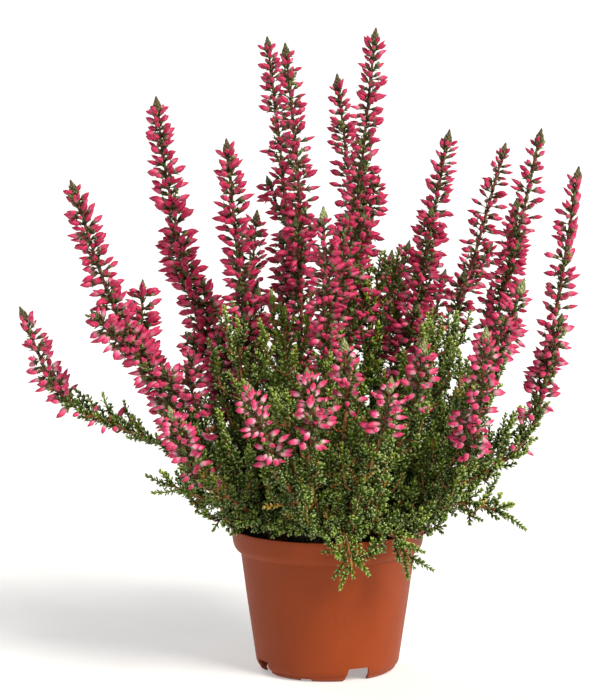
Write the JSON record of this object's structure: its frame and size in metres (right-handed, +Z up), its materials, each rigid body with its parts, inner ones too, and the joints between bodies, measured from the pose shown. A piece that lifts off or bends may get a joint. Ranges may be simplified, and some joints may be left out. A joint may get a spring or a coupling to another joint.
{
  "type": "potted heather",
  "caption": "Flowering heather in a tapered plastic nursery pot, with upright bud-covered spikes over a dense bush of small leafy shoots.",
  "frame": {"origin": "on the standing plane, under the middle of the whole plant's box; the pot's axis stands 15 mm towards +X and 8 mm towards -Y from it", "axes": "+Z up, along the pot's axis; -Y is the front of the plant, +X is right as seen from the front"},
  "size_m": [0.2973, 0.2282, 0.3468],
  "materials": {
    "pot_plastic": "satin",
    "potting_soil": "matte",
    "leafy_stem": "matte",
    "flower_bud": "satin",
    "green_tip": "matte"
  },
  "bodies": {
    "root": {"pot": "pot_plastic", "soil": "potting_soil", "leafy_stems_back": "leafy_stem", "leafy_stems_front": "leafy_stem", "leafy_stems_left": "leafy_stem", "leafy_stems_right": "leafy_stem", "flower_spike_back_left": "flower_bud", "flower_spike_back_low_left": "flower_bud", "flower_spike_back_low_middle": "flower_bud", "flower_spike_back_low_right": "flower_bud", "flower_spike_back_middle": "flower_bud", "flower_spike_back_right": "flower_bud", "flower_spike_far_right": "flower_bud", "flower_spike_far_right_back": "flower_bud", "flower_spike_front_centre": "flower_bud", "flower_spike_front_left": "flower_bud", "flower_spike_front_low_right": "flower_bud", "flower_spike_front_middle": "flower_bud", "flower_spike_front_right": "flower_bud", "flower_spike_inner_left": "flower_bud", "flower_spike_left": "flower_bud", "flower_spike_low_left": "flower_bud", "flower_spike_low_left_front": "flower_bud", "flower_spike_low_right": "flower_bud", "flower_spike_low_right_front": "flower_bud", "flower_spike_middle": "flower_bud", "flower_spike_outer_right": "flower_bud", "flower_spike_outer_right_back": "flower_bud", "flower_spike_right": "flower_bud", "flower_spike_short_left_back": "flower_bud", "flower_spike_short_right_back": "flower_bud", "flower_spike_top_left": "flower_bud", "flower_spike_top_left_back": "flower_bud", "flower_spike_top_right": "flower_bud", "flower_spike_top_right_back": "flower_bud", "flower_spike_upper_left": "flower_bud", "spike_tip_far_right": "green_tip", "spike_tip_far_right_back": "green_tip", "spike_tip_front_centre": "green_tip", "spike_tip_front_left": "green_tip", "spike_tip_front_low_right": "green_tip", "spike_tip_front_middle": "green_tip", "spike_tip_front_right": "green_tip", "spike_tip_inner_left": "green_tip", "spike_tip_left": "green_tip", "spike_tip_low_left": "green_tip", "spike_tip_low_left_front": "green_tip", "spike_tip_low_right": "green_tip", "spike_tip_low_right_front": "green_tip", "spike_tip_middle": "green_tip", "spike_tip_outer_right": "green_tip", "spike_tip_outer_right_back": "green_tip", "spike_tip_right": "green_tip", "spike_tip_short_left_back": "green_tip", "spike_tip_short_right_back": "green_tip", "spike_tip_top_left": "green_tip", "spike_tip_top_left_back": "green_tip", "spike_tip_top_right": "green_tip", "spike_tip_top_right_back": "green_tip", "spike_tip_upper_left": "green_tip"}
  },
  "joints": []
}
